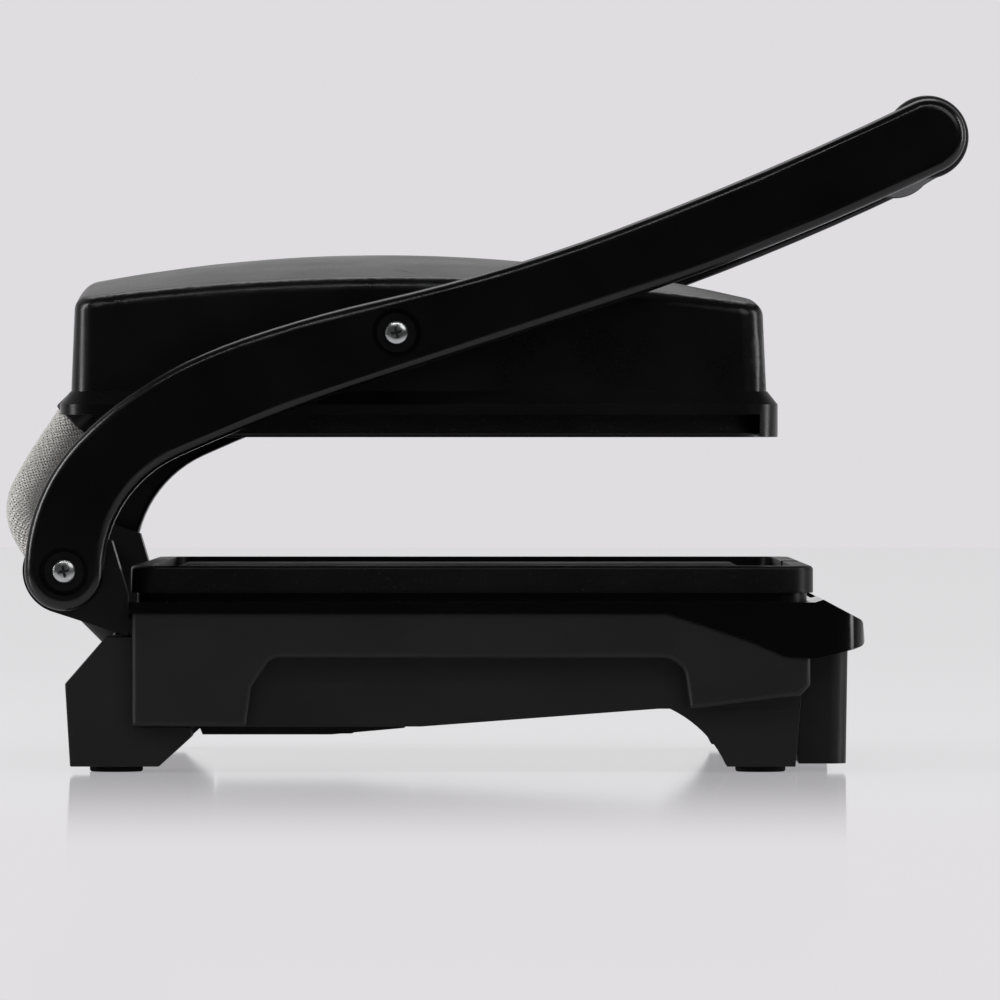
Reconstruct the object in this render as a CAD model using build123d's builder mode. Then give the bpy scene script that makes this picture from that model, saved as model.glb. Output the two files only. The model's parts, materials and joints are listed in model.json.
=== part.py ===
from build123d import *
import os
from math import atan2, cos, degrees, hypot, pi, radians, sin

# Contact grill with a floating lid, as its separate pieces.
# Millimetres. +Z is up, the front faces -Y, the width lies along X, and the origin is on the table under the
# middle of the box. At rest the lid stands level above the lower plate, as with food between the plates.

# Driving dimensions
HINGE_Y, HINGE_Z = 139.5, 68.0
PIVOT_FORWARD, PIVOT_UP = 111.5, 80.0
PRESS_ANGLE = 20.0
CLOSED_GAP = 0.45
BODY_HALF = 140.0
PANEL_HALF = 148.0
FRAME_HALF = 149.0
BODY_REAR, BODY_FRONT = 117.0, -107.9
BODY_TOP = 53.8
BODY_BOTTOM = 15.5
FRAME_TOP = 57.5
LEG_BOTTOM = 2.0
WALL = 3.0
PLATE_TOP = 69.6
PLATE_REAR, PLATE_FRONT = 117.9, -112.4
PLATE_HALF = 140.5
ARM_INNER, ARM_OUTER = 142.0, 157.0
LID_HALF = 137.0
LID_REAR, LID_FRONT = 138.4, -97.0
LIP_OUT = 3.5
LID_WALL = 2.5
LIP_BOTTOM, LIP_TOP, FLARE_TOP = 120.6, 124.0, 128.4
CABLE_X = -100.0

# Places worked out from them
PIVOT_Y, PIVOT_Z = HINGE_Y - PIVOT_FORWARD, HINGE_Z + PIVOT_UP
REACH = hypot(PIVOT_FORWARD, PIVOT_UP)
ARM_SLOPE = atan2(PIVOT_UP, PIVOT_FORWARD)
LID_DROP = REACH * (sin(ARM_SLOPE) - sin(ARM_SLOPE - radians(PRESS_ANGLE)))
UPPER_BOTTOM = PLATE_TOP + LID_DROP + CLOSED_GAP


def group(*solids):
    """One node made of separate like pieces."""
    return Compound(children=list(solids))


def rod(radius, start, end, y, z):
    """A round bar along X between two X places."""
    with BuildPart() as bar:
        with BuildSketch(Plane.YZ.offset(min(start, end))):
            with Locations((y, z)):
                Circle(radius)
        extrude(amount=abs(end - start))
    return bar.part


# Top frame
# A gloss black bezel that covers the tub's rim, with the drip lip that falls away at the front.
FRAME_REAR = 118.0
LIP_FRONT = -129.7
LIP_PROFILE = [
    (FRAME_REAR, FRAME_TOP),
    (-112.5, FRAME_TOP),
    (-115.4, 58.4),
    (-128.9, 51.2),
    (LIP_FRONT, 43.0),
    (-125.2, 41.5),
    (-113.2, 38.6),
    (-102.7, 39.3),
    (-90.7, 44.5),
    (-75.6, 49.7),
    (-62.8, BODY_TOP),
    (FRAME_REAR, BODY_TOP),
]
OPENING_INSET = 2.0
OPENING_HALF = PLATE_HALF - OPENING_INSET
OPENING_REAR, OPENING_FRONT = PLATE_REAR - 1.6, PLATE_FRONT + 1.6


def frame_block(half):
    """The frame's side outline carried across the whole width, before its opening is cut."""
    with BuildPart() as block:
        with BuildSketch(Plane.YZ):
            with BuildLine():
                Polyline(*LIP_PROFILE, close=True)
            make_face()
        extrude(amount=half, both=True)
        corners = block.edges().filter_by(Axis.X).filter_by_position(Axis.Y, LIP_FRONT - 1, -100)
        fillet(corners.filter_by_position(Axis.Z, 37, 52), 2.2)
    return block.part


frame_cutter = frame_block(FRAME_HALF + 6)
with BuildPart() as base_top_frame:
    add(frame_block(FRAME_HALF))
    # Plan outline, rounded at the two front corners
    with BuildSketch(Plane.XY.offset(30)) as plan:
        with Locations((0, (FRAME_REAR + LIP_FRONT) / 2)):
            Rectangle(2 * FRAME_HALF, FRAME_REAR - LIP_FRONT)
        fillet(plan.vertices().group_by(Axis.Y)[0], 14)
    extrude(amount=40, mode=Mode.INTERSECT)
    with BuildSketch(Plane.XY.offset(30)):
        with Locations((0, (OPENING_REAR + OPENING_FRONT) / 2)):
            RectangleRounded(2 * OPENING_HALF, OPENING_REAR - OPENING_FRONT, 10)
    extrude(amount=40, mode=Mode.SUBTRACT)
    # Grease trough that leads to the spout at the middle of the lip
    with BuildSketch(Plane.XY.offset(54.5)):
        with Locations((0, -118.0)):
            SlotOverall(150, 9)
    extrude(amount=10, mode=Mode.SUBTRACT)
base_top_frame.part.label = "base_top_frame"

# Base housing
# One moulded tub with four legs, a raised panel on each side and a grip recess in each panel.
TUB_PROFILE = [
    (BODY_REAR, 56.0),
    (BODY_REAR, BODY_BOTTOM),
    (20.0, BODY_BOTTOM),
    (-60.0, 21.5),
    (BODY_FRONT, 21.5),
    (BODY_FRONT, 56.0),
]
TUB_CAVITY = [
    (BODY_REAR - WALL, 60.0),
    (BODY_REAR - WALL, BODY_BOTTOM + WALL),
    (20.5, BODY_BOTTOM + WALL),
    (-59.5, 21.5 + WALL),
    (BODY_FRONT + WALL, 21.5 + WALL),
    (BODY_FRONT + WALL, 60.0),
]
PANEL_PROFILE = [
    (BODY_REAR, 56.0),
    (BODY_REAR, 15.8),
    (20.0, 15.8),
    (-60.0, 21.0),
    (-75.6, 22.0),
    (-107.5, 25.9),
    (-110.9, 29.5),
    (-110.9, 56.0),
]
GRIP_RECESS = [(79.3, 10.0), (76.7, 28.9), (70.0, 38.6), (-63.5, 38.6), (-68.6, 35.0), (-72.4, 10.0)]
PANEL_CAVITY = [(114.0, 60.0), (114.0, 19.0), (82.4, 19.0), (79.4, 31.5), (72.5, 41.8), (-60.0, 41.8), (-60.0, 60.0)]
REAR_LEG = [
    (110.0, 45.8),
    (126.0, 45.8),
    (139.8, 29.9),
    (138.1, LEG_BOTTOM),
    (108.2, LEG_BOTTOM),
    (97.4, 11.8),
    (97.4, 17.0),
    (110.0, 17.0),
]
REAR_LEG_CAVITY = [(111.0, 42.8), (124.6, 42.8), (136.5, 29.0), (135.2, 6.0), (111.0, 6.0), (111.0, 19.0)]
FRONT_LEG_FOOT_Y = (-83.2, -106.2)
FRONT_BLOCK = [(-104.0, 46.0), (-124.7, 46.0), (-124.0, LEG_BOTTOM + 0.4), (BODY_FRONT, LEG_BOTTOM + 0.4), (-104.0, 22.0)]
REAR_LEG_X = (110.0, BODY_HALF)
FRONT_LEG_X = (112.0, BODY_HALF)
FRONT_BLOCK_HALF = 120.0
FEET = [(125.0, 123.0, 9.0), (126.0, -94.7, 8.5)]
FOOT_PEG_R, FOOT_PEG_TOP = 3.0, 7.0
POSTS = [(88.0, 68.0), (88.0, -63.0)]
POST_R, POST_TOP = 6.0, 49.2
POST_SCREW_SEAT = 30.0
COVER_SCREWS = [(98.0, 89.0), (98.0, 46.0)]
BRACKET_SCREWS = [(115.5, 49.8), (135.0, 49.8)]
MAINS_X, MAINS_Z = 60.0, 36.0
CABLE_WALL_Z = 42.1


def both_sides(points):
    """The same places on the left and on the right."""
    return [(side * x, y) for side in (-1, 1) for x, y in points]


with BuildPart() as housing:
    with BuildSketch(Plane.YZ):
        with BuildLine():
            Polyline(*TUB_PROFILE, close=True)
        make_face()
    extrude(amount=BODY_HALF, both=True)
    # Raised side panels, less their grip recesses
    for side in (-1, 1):
        with BuildSketch(Plane.YZ.offset(side * BODY_HALF)) as panel:
            with BuildLine():
                Polyline(*PANEL_PROFILE, close=True)
            make_face()
            with BuildLine():
                Polyline(*GRIP_RECESS, close=True)
            make_face(mode=Mode.SUBTRACT)
            fillet(panel.vertices().filter_by_position(Axis.Y, 30, 40), 5)
        extrude(amount=side * (PANEL_HALF - BODY_HALF))
    for side in (-1, 1):
        outer = housing.faces().filter_by(Axis.X).group_by(Axis.X)[0 if side < 0 else -1]
        rims = outer.edges().filter_by_position(Axis.Z, 0, 57)
        fillet(rims, 2.0)
    # Rear legs, and front legs whose arch springs from the belly
    for side in (-1, 1):
        with BuildSketch(Plane.YZ.offset(side * REAR_LEG_X[0])):
            with BuildLine():
                Polyline(*REAR_LEG, close=True)
            make_face()
        extrude(amount=side * (REAR_LEG_X[1] - REAR_LEG_X[0]))
        with BuildSketch(Plane.YZ.offset(side * FRONT_LEG_X[0])):
            with BuildLine():
                ThreePointArc((-63.7, 21.6), (-75.6, 13.1), (FRONT_LEG_FOOT_Y[0], LEG_BOTTOM))
                Polyline((FRONT_LEG_FOOT_Y[0], LEG_BOTTOM), (FRONT_LEG_FOOT_Y[1], LEG_BOTTOM), (BODY_FRONT, 24.0))
                Polyline((BODY_FRONT, 24.0), (-63.7, 24.0), (-63.7, 21.6))
            make_face()
        extrude(amount=side * (FRONT_LEG_X[1] - FRONT_LEG_X[0]))
    # Front wall, set back from the sides, with a low arch between its two feet
    with BuildSketch(Plane.YZ):
        with BuildLine():
            Polyline(*FRONT_BLOCK, close=True)
        make_face()
    extrude(amount=FRONT_BLOCK_HALF, both=True)
    front_corners = housing.edges().filter_by_position(Axis.Y, -125, -123.5)
    fillet([e for e in front_corners if abs(e.center().X) > FRONT_BLOCK_HALF - 1], 6)
    with BuildSketch(Plane.XZ.offset(104.0)):
        with BuildLine():
            Polyline((-88, 0), (-80, 12), (-70, 15), (70, 15), (80, 12), (88, 0), close=True)
        make_face()
    extrude(amount=30, mode=Mode.SUBTRACT)
    # Hollows: the tub, the back of the panels and the rear legs
    with BuildSketch(Plane.YZ):
        with BuildLine():
            Polyline(*TUB_CAVITY, close=True)
        make_face()
    extrude(amount=BODY_HALF - WALL, both=True, mode=Mode.SUBTRACT)
    with BuildSketch(Plane.YZ):
        with BuildLine():
            Polyline(*PANEL_CAVITY, close=True)
        make_face()
    extrude(amount=PANEL_HALF - WALL, both=True, mode=Mode.SUBTRACT)
    for side in (-1, 1):
        with BuildSketch(Plane.YZ.offset(side * (REAR_LEG_X[0] + WALL))):
            with BuildLine():
                Polyline(*REAR_LEG_CAVITY, close=True)
            make_face()
        extrude(amount=side * (REAR_LEG_X[1] - REAR_LEG_X[0] - 2 * WALL), mode=Mode.SUBTRACT)
    with BuildSketch(Plane.XY.offset(17.5)):
        with Locations((0, -114.4)):
            RectangleRounded(2 * FRONT_BLOCK_HALF - 12, 14, 2)
    extrude(amount=40, mode=Mode.SUBTRACT)
    # Screw posts for the lower plate, and bosses for the bottom cover
    with BuildSketch(Plane.XY.offset(17.0)):
        with Locations(*both_sides(POSTS[:1])):
            Circle(POST_R)
    extrude(amount=POST_TOP - 17.0)
    with BuildSketch(Plane.XY.offset(22.5)):
        with Locations(*both_sides(POSTS[1:])):
            Circle(POST_R)
    extrude(amount=POST_TOP - 22.5)
    with BuildSketch(Plane.XY.offset(BODY_BOTTOM + 1)):
        with Locations(*both_sides(COVER_SCREWS)):
            Circle(4.5)
    extrude(amount=10)
    # Service opening under the cover
    with BuildSketch(Plane.XY.offset(10)):
        with Locations((0, 59)):
            RectangleRounded(176, 56, 6)
        with Locations(*both_sides(POSTS[:1])):
            Circle(POST_R + 3, mode=Mode.SUBTRACT)
    extrude(amount=9, mode=Mode.SUBTRACT)
    # Holes: post screws, cover screws, feet, bracket screws and the two glands
    with BuildSketch(Plane.XY):
        with Locations(*both_sides(POSTS)):
            Circle(2.2)
    extrude(amount=60, mode=Mode.SUBTRACT)
    with BuildSketch(Plane.XY):
        with Locations(*both_sides(POSTS)):
            Circle(4.5)
    extrude(amount=POST_SCREW_SEAT, mode=Mode.SUBTRACT)
    with BuildSketch(Plane.XY):
        with Locations(*both_sides(COVER_SCREWS)):
            Circle(1.5)
    extrude(amount=24, mode=Mode.SUBTRACT)
    with BuildSketch(Plane.XY):
        with Locations(*both_sides([foot[:2] for foot in FEET])):
            Circle(FOOT_PEG_R)
    extrude(amount=FOOT_PEG_TOP, mode=Mode.SUBTRACT)
    with BuildSketch(Plane.XZ.offset(-BODY_REAR - 1)):
        with Locations(*both_sides(BRACKET_SCREWS)):
            Circle(1.9)
        with Locations((MAINS_X, MAINS_Z)):
            Circle(6)
        with Locations((CABLE_X, CABLE_WALL_Z)):
            Circle(5)
    extrude(amount=5, mode=Mode.SUBTRACT)
    add(frame_cutter, mode=Mode.SUBTRACT)

# The housing's mouldings: tub, side panels, rear legs, front legs and front panel, parted where they are fixed
PARTINGS = [
    ("side_panels", None, (BODY_HALF, PANEL_HALF + 2)),
    ("rear_legs", [(90, 0), (145, 0), (145, 50), (BODY_REAR, 50), (BODY_REAR, BODY_BOTTOM), (90, BODY_BOTTOM)], (105, BODY_HALF)),
    ("front_legs", [(BODY_FRONT, 0), (-60, 0), (-60, 21.5), (BODY_FRONT, 21.5)], (105, BODY_HALF)),
    ("front_panel", [(-130, 0), (BODY_FRONT, 0), (BODY_FRONT, 60), (-130, 60)], (-BODY_HALF, BODY_HALF)),
]
parted, regions = {}, []
for name, outline, (near, far) in PARTINGS:
    with BuildPart() as region:
        for side in (-1, 1) if near > 0 else (1,):
            with BuildSketch(Plane.YZ.offset(side * near)):
                if outline:
                    with BuildLine():
                        Polyline(*outline, close=True)
                    make_face()
                else:
                    Rectangle(400, 200)
            extrude(amount=side * (far - near))
    with BuildPart() as moulding:
        add(housing.part)
        add(region.part, mode=Mode.INTERSECT)
    moulding.part.label = name
    parted[name] = moulding.part
    regions.append(region.part)
with BuildPart() as base_housing:
    add(housing.part)
    for region in regions:
        add(region, mode=Mode.SUBTRACT)
base_housing.part.label = "base_housing"

# Bottom cover
# A dished vented panel that closes the service opening, held by four screws.
COVER_PROFILE = [(96.0, BODY_BOTTOM), (94.5, 11.8), (50.7, 11.8), (26.0, 14.0), (24.0, BODY_BOTTOM)]
COVER_POCKET = [(88.0, 16.0), (88.0, 14.2), (51.0, 14.2), (37.0, 15.3), (37.0, 16.0)]
with BuildPart() as base_cover:
    with BuildSketch(Plane.YZ):
        with BuildLine():
            Polyline(*COVER_PROFILE, close=True)
        make_face()
    extrude(amount=103.5, both=True)
    with BuildSketch(Plane.YZ):
        with BuildLine():
            Polyline(*COVER_POCKET, close=True)
        make_face()
    extrude(amount=91.0, both=True, mode=Mode.SUBTRACT)
    with BuildSketch(Plane.XY.offset(10)):
        with Locations((0, 69.0)):
            with GridLocations(9.0, 0, 9, 1):
                SlotOverall(28.0, 3.6, rotation=90)
        with Locations(*both_sides(COVER_SCREWS)):
            Circle(1.7)
    extrude(amount=8, mode=Mode.SUBTRACT)
    with BuildSketch(Plane.XY.offset(10)):
        with Locations(*both_sides(COVER_SCREWS)):
            Circle(3.4)
    extrude(amount=4.0, mode=Mode.SUBTRACT)
base_cover.part.label = "base_cover"


def screw(head_r, head_h, shank_r, shank_l, cross=0.8):
    """A pan-head screw: head from z = 0 down to -head_h, shank up to shank_l, with a cross recess in its head."""
    with BuildPart() as body:
        with BuildSketch():
            Circle(head_r)
        extrude(amount=-head_h)
        fillet(body.faces().sort_by(Axis.Z)[0].edges(), min(0.8, head_h * 0.45))
        with BuildSketch():
            Circle(shank_r)
        extrude(amount=shank_l)
        with BuildSketch(Plane.XY.offset(-head_h)):
            Rectangle(head_r * 1.15, cross)
            Rectangle(cross, head_r * 1.15)
        extrude(amount=head_h * 0.55, mode=Mode.SUBTRACT)
    return body.part


def along_x(solid, side, x, y, z):
    """The solid with its head outwards at the side: its +Z turned to point at the middle of the grill."""
    return Location((side * x, y, z), (0, -90 * side, 0)) * solid


cover_screw = screw(3.0, 2.0, 1.5, 9.5)
base_cover_screws = group(*[Location((x, y, 14.0)) * cover_screw for x, y in both_sides(COVER_SCREWS)])
base_cover_screws.label = "base_cover_screws"

# Rubber feet, each with a peg pushed into its leg
feet = []
for x, y, radius in [(side * x, y, r) for side in (-1, 1) for x, y, r in FEET]:
    with BuildPart() as foot:
        with BuildSketch():
            with Locations((x, y)):
                Circle(radius)
        extrude(amount=LEG_BOTTOM)
        fillet(foot.faces().sort_by(Axis.Z)[0].edges(), 0.8)
        with BuildSketch(Plane.XY.offset(LEG_BOTTOM)):
            with Locations((x, y)):
                Circle(FOOT_PEG_R)
        extrude(amount=FOOT_PEG_TOP - LEG_BOTTOM - 1)
    feet.append(foot.part)
rubber_feet = group(*feet)
rubber_feet.label = "rubber_feet"

# Cooking plates
# Cast aluminium, non-stick, ribbed from front to back inside a raised rim, with a skirt behind.
RIB_PITCH, RIB_WIDTH, RIB_DEPTH = 10.0, 5.0, 3.4
RIB_COUNT = 25
PLATE_THICK = 9.1
SLAB = 4.0
ELEMENT_R = 3.3
ELEMENT_GAP = 0.05
LOWER_BACK = PLATE_TOP - PLATE_THICK
UPPER_BACK = UPPER_BOTTOM + 8.5
UPPER_HALF = 134.0
UPPER_REAR, UPPER_FRONT = 126.5, -93.8
PLATE_SCREWS_UPPER = [(130.4, 100.0), (130.4, -70.0)]


def plate_casting(half, rear, front, face, back, direction):
    """The rimmed casting without its skirt: direction is +1 where it cooks upwards."""
    middle = (rear + front) / 2
    low = min(face, back)
    with BuildPart() as casting:
        with BuildSketch(Plane.XY.offset(low)):
            with Locations((0, middle)):
                RectangleRounded(2 * half, rear - front, 11)
        extrude(amount=abs(face - back))
        fillet(casting.faces().sort_by(Axis.Z)[-1 if direction > 0 else 0].outer_wire().edges(), 1.4)
        with BuildSketch(Plane.XY.offset(back + direction * SLAB)):
            with Locations((0, middle)):
                RectangleRounded(2 * half - 14, rear - front - 14, 7)
        extrude(amount=direction * 10, mode=Mode.SUBTRACT)
    return casting.part


LOWER_RIBS_Z = LOWER_BACK + SLAB
UPPER_RIBS_Z = UPPER_BACK - SLAB
SKIRT_BOTTOM = 54.0
lower_casting = plate_casting(PLATE_HALF, PLATE_REAR, PLATE_FRONT, PLATE_TOP, LOWER_BACK, 1)
with BuildPart() as rib_bar:
    with BuildSketch(Plane.XZ):
        Trapezoid(RIB_WIDTH, RIB_DEPTH, 68, align=(Align.CENTER, Align.MIN))
    extrude(amount=196)
    fillet(rib_bar.faces().sort_by(Axis.Z)[-1].edges().filter_by(Axis.Y), 0.8)

with BuildPart() as lower_plate:
    add(lower_casting)
    with Locations((0, 106.0, LOWER_RIBS_Z)):
        with GridLocations(RIB_PITCH, 0, RIB_COUNT, 1):
            add(rib_bar.part)
    # Skirt that drops into the frame's opening
    with BuildSketch(Plane.XY.offset(SKIRT_BOTTOM)):
        with Locations((0, (PLATE_REAR + PLATE_FRONT) / 2)):
            RectangleRounded(2 * OPENING_HALF - 1.0, OPENING_REAR - OPENING_FRONT - 1.0, 9.5)
            RectangleRounded(2 * OPENING_HALF - 6.0, OPENING_REAR - OPENING_FRONT - 6.0, 7, mode=Mode.SUBTRACT)
    extrude(amount=LOWER_BACK - SKIRT_BOTTOM)
    with BuildSketch(Plane.XY.offset(POST_TOP + 0.8)):
        with Locations(*both_sides(POSTS)):
            Circle(5)
    extrude(amount=LOWER_BACK - POST_TOP - 0.8)
    with BuildSketch(Plane.XY.offset(40)):
        with Locations(*both_sides(POSTS)):
            Circle(2)
    extrude(amount=LOWER_BACK + 1.5 - 40, mode=Mode.SUBTRACT)
    # Spout through the front rim
    with BuildSketch(Plane.XY.offset(LOWER_RIBS_Z)):
        with Locations((0, PLATE_FRONT + 3)):
            RectangleRounded(26, 12, 3)
    extrude(amount=10, mode=Mode.SUBTRACT)
lower_plate.part.label = "lower_plate"

with BuildPart() as upper_plate:
    add(plate_casting(UPPER_HALF, UPPER_REAR, UPPER_FRONT, UPPER_BOTTOM, UPPER_BACK, -1))
    with Locations(Location((0, -80.0, UPPER_RIBS_Z), (180, 0, 0))):
        with GridLocations(RIB_PITCH, 0, RIB_COUNT, 1):
            add(rib_bar.part)
    with BuildSketch(Plane.XY.offset(UPPER_BOTTOM + 3)):
        with Locations(*both_sides(PLATE_SCREWS_UPPER)):
            Circle(2)
    extrude(amount=20, mode=Mode.SUBTRACT)
upper_plate.part.label = "upper_plate"

post_screw = screw(3.8, 2.6, 2.0, 31.0)
lower_plate_screws = group(*[Location((x, y, POST_SCREW_SEAT)) * post_screw for x, y in both_sides(POSTS)])
lower_plate_screws.label = "lower_plate_screws"


def element(z, name):
    """Sheathed heating element bent into a double loop that lies flat on the back of a plate."""
    with BuildPart() as tube:
        with BuildLine() as route:
            FilletPolyline(
                (-25, 104, z), (-25, 85, z), (-105, 85, z), (-105, -80, z), (-42, -80, z), (-42, 36, z),
                (42, 36, z), (42, -80, z), (105, -80, z), (105, 85, z), (25, 85, z), (25, 104, z), radius=15,
            )
        with BuildSketch(Plane(origin=route.line @ 0, z_dir=route.line % 0)):
            Circle(ELEMENT_R)
        sweep()
        with BuildSketch(Plane.XZ.offset(-104)):
            with Locations((-25, z), (25, z)):
                Circle(1.4)
        extrude(amount=-7)
    tube.part.label = name
    return tube.part


lower_element = element(LOWER_BACK - ELEMENT_R - ELEMENT_GAP, "lower_element")
upper_element = element(UPPER_BACK + ELEMENT_R + ELEMENT_GAP, "upper_element")


def heat_shield(half, rear, front, sheet_z, turn_up, holes, hole_r, name):
    """A thin folded tray that keeps the element's heat off the plastic behind it."""
    sheet = 0.8
    low = min(sheet_z, sheet_z + turn_up)
    with BuildPart() as tray:
        with BuildSketch(Plane.XY.offset(low)):
            with Locations((0, (rear + front) / 2)):
                RectangleRounded(2 * half, rear - front, 8)
        extrude(amount=abs(turn_up))
        inner = sheet_z + (sheet if turn_up > 0 else -sheet)
        with BuildSketch(Plane.XY.offset(inner)):
            with Locations((0, (rear + front) / 2)):
                RectangleRounded(2 * (half - sheet), rear - front - 2 * sheet, 7.2)
        extrude(amount=turn_up, mode=Mode.SUBTRACT)
        if holes:
            with BuildSketch(Plane.XY.offset(sheet_z - 5)):
                with Locations(*both_sides(holes)):
                    Circle(hole_r)
            extrude(amount=10, mode=Mode.SUBTRACT)
    tray.part.label = name
    return tray.part


lower_heat_shield = heat_shield(124, 106, -98, POST_TOP, 4.5, POSTS, 2.2, "lower_heat_shield")
LID_TRAY_TOP = UPPER_BACK + 2.5
upper_heat_shield = heat_shield(119, 116.5, -89, LID_TRAY_TOP + 8.5, -8.5, [], 0, "upper_heat_shield")


def thermostat(back, direction, name):
    """Snap-disc thermostat held against the middle of a plate, with two tab terminals."""
    with BuildPart() as stat:
        with BuildSketch(Plane.XY.offset(back)):
            Circle(9)
        extrude(amount=direction * 5)
        with BuildSketch(Plane.XY.offset(back + direction * 5)):
            Circle(6)
        extrude(amount=direction * 1.6)
        with BuildSketch(Plane.XY.offset(back + direction * 3)):
            with Locations((-12, 0), (12, 0)):
                Rectangle(8, 4)
        extrude(amount=direction * 0.8)
    stat.part.label = name
    return stat.part


lower_thermostat = thermostat(LOWER_BACK, -1, "lower_thermostat")
upper_thermostat = thermostat(UPPER_BACK, 1, "upper_thermostat")

# Thermal fuse in its crimped sleeve, beside the lower thermostat
with BuildPart() as thermal_fuse:
    with BuildSketch(Plane.YZ.offset(-9)):
        with Locations((-24, LOWER_BACK - 2.6)):
            Circle(2.5)
    extrude(amount=18)
    with BuildSketch(Plane.YZ.offset(-15)):
        with Locations((-24, LOWER_BACK - 2.6)):
            Circle(0.7)
    extrude(amount=30)
thermal_fuse.part.label = "thermal_fuse"

# Terminal block on the tub's floor beside the mains inlet
with BuildPart() as terminal_block:
    with BuildSketch(Plane.XY.offset(BODY_BOTTOM + WALL)):
        with Locations((60, 102)):
            Rectangle(36, 16)
    extrude(amount=12)
    fillet(terminal_block.edges().filter_by(Axis.Z), 1.5)
    with BuildSketch(Plane.XY.offset(BODY_BOTTOM + WALL + 12)):
        with Locations((60, 102)):
            with GridLocations(11, 8, 3, 2):
                Circle(2.2)
    extrude(amount=-6, mode=Mode.SUBTRACT)
terminal_block.part.label = "terminal_block"

# Mains inlet: a flanged bush in the rear wall, left without a cord
MAINS_BORE = 3.6
with BuildPart() as mains_gland:
    with BuildSketch(Plane.XZ.offset(-BODY_REAR)):
        with Locations((MAINS_X, MAINS_Z)):
            Circle(8.5)
    extrude(amount=-3)
    fillet(mains_gland.faces().sort_by(Axis.Y)[-1].edges(), 1.0)
    with BuildSketch(Plane.XZ.offset(-BODY_REAR)):
        with Locations((MAINS_X, MAINS_Z)):
            Circle(6)
    extrude(amount=6)
    with BuildSketch(Plane.XZ.offset(-BODY_REAR - 3)):
        with Locations((MAINS_X, MAINS_Z)):
            Circle(MAINS_BORE)
    extrude(amount=9, mode=Mode.SUBTRACT)
mains_gland.part.label = "mains_gland"

# Lower cable gland: a collar on the rear wall that the braided sleeve leaves from
SLEEVE_R = 6.2
BOOT_FACE = 7.8
CABLE_LINE = Plane(origin=(CABLE_X, FRAME_REAR, CABLE_WALL_Z), z_dir=(0, 1, 1))
with BuildPart() as lower_cable_gland:
    with BuildSketch(CABLE_LINE.offset(-12)):
        Circle(7.6)
    extrude(amount=12 + BOOT_FACE)
    fillet(lower_cable_gland.faces().sort_by(Axis.Y)[-1].edges(), 1.0)
    split(bisect_by=Plane.XZ.offset(-FRAME_REAR - 0.2), keep=Keep.BOTTOM)
    with BuildSketch(Plane.XZ.offset(-FRAME_REAR - 0.2)):
        with Locations((CABLE_X, CABLE_WALL_Z)):
            Circle(5)
    extrude(amount=6)
lower_cable_gland.part.label = "lower_cable_gland"

# Hinge brackets: die-cast ears behind the arms, each screwed to the tub's rear wall
EAR_OUTER, EAR_INNER = 141.5, 128.0
EAR_R, BUSH_R, PIN_R, RUNNING = 14.5, 6.0, 4.0, 0.05
brackets, bushes, bracket_bolts = [], [], []
bracket_screw = screw(3.4, 2.2, 1.9, 10.0)
for side in (-1, 1):
    with BuildPart() as bracket:
        with BuildSketch(Plane.YZ.offset(side * EAR_INNER)):
            with BuildLine():
                CenterArc((HINGE_Y, HINGE_Z), EAR_R, 0, 360)
                Polyline((118.6, 46.0), (118.6, 60.0), (120.5, 66.0), (124.0, 78.0), (118.6, 46.0))
            make_hull()
        extrude(amount=side * (EAR_OUTER - EAR_INNER))
        with BuildSketch(Plane.XZ.offset(-BODY_REAR)):
            with Locations((side * 125.5, 49.8)):
                RectangleRounded(32, 7.6, 2)
        extrude(amount=-4)
        with BuildSketch(Plane.XZ.offset(-BODY_REAR)):
            with Locations(*[(side * x, z) for x, z in BRACKET_SCREWS]):
                Circle(1.9)
        extrude(amount=-4, mode=Mode.SUBTRACT)
        with BuildSketch(Plane.XZ.offset(-BODY_REAR - 4)):
            with Locations((side * BRACKET_SCREWS[1][0], BRACKET_SCREWS[1][1])):
                Circle(3.9)
        extrude(amount=-30, mode=Mode.SUBTRACT)
        with BuildSketch(Plane.YZ.offset(side * EAR_INNER)):
            with Locations((HINGE_Y, HINGE_Z)):
                Circle(BUSH_R)
        extrude(amount=side * (EAR_OUTER - EAR_INNER), mode=Mode.SUBTRACT)
    bracket.part.label = "left_hinge_bracket" if side < 0 else "right_hinge_bracket"
    brackets.append(bracket.part)
    with BuildPart() as bush:
        with BuildSketch(Plane.YZ.offset(side * EAR_INNER)):
            with Locations((HINGE_Y, HINGE_Z)):
                Circle(BUSH_R)
                Circle(PIN_R + RUNNING, mode=Mode.SUBTRACT)
        extrude(amount=side * (EAR_OUTER - EAR_INNER))
    bushes.append(bush.part)
    bracket_bolts += [
        Location((side * x, BODY_REAR + 4, z), (90, 0, 0)) * bracket_screw for x, z in BRACKET_SCREWS
    ]
left_hinge_bracket, right_hinge_bracket = brackets
hinge_bushes = group(*bushes)
hinge_bushes.label = "hinge_bushes"
bracket_screws = group(*bracket_bolts)
bracket_screws.label = "bracket_screws"

# Hinge pins, with the washers and screws that hold the arms on them
RECESS_R, RECESS_DEPTH = 8.3, 4.5
RECESS_FLOOR = ARM_OUTER - RECESS_DEPTH
PIN_END = RECESS_FLOOR + 0.1
WASHER_R, WASHER_T = 6.6, 1.0


def shouldered_pin(side, flange_r, flange_from, seat, y, z):
    """A pin with its flange at the inner end and a tapped hole in its outer end."""
    with BuildPart() as pin:
        add(rod(flange_r, side * flange_from, side * seat, y, z))
        add(rod(PIN_R, side * seat, side * PIN_END, y, z))
        add(rod(2.0, side * (PIN_END - 12), side * (PIN_END + 1), y, z), mode=Mode.SUBTRACT)
    return pin.part


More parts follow.
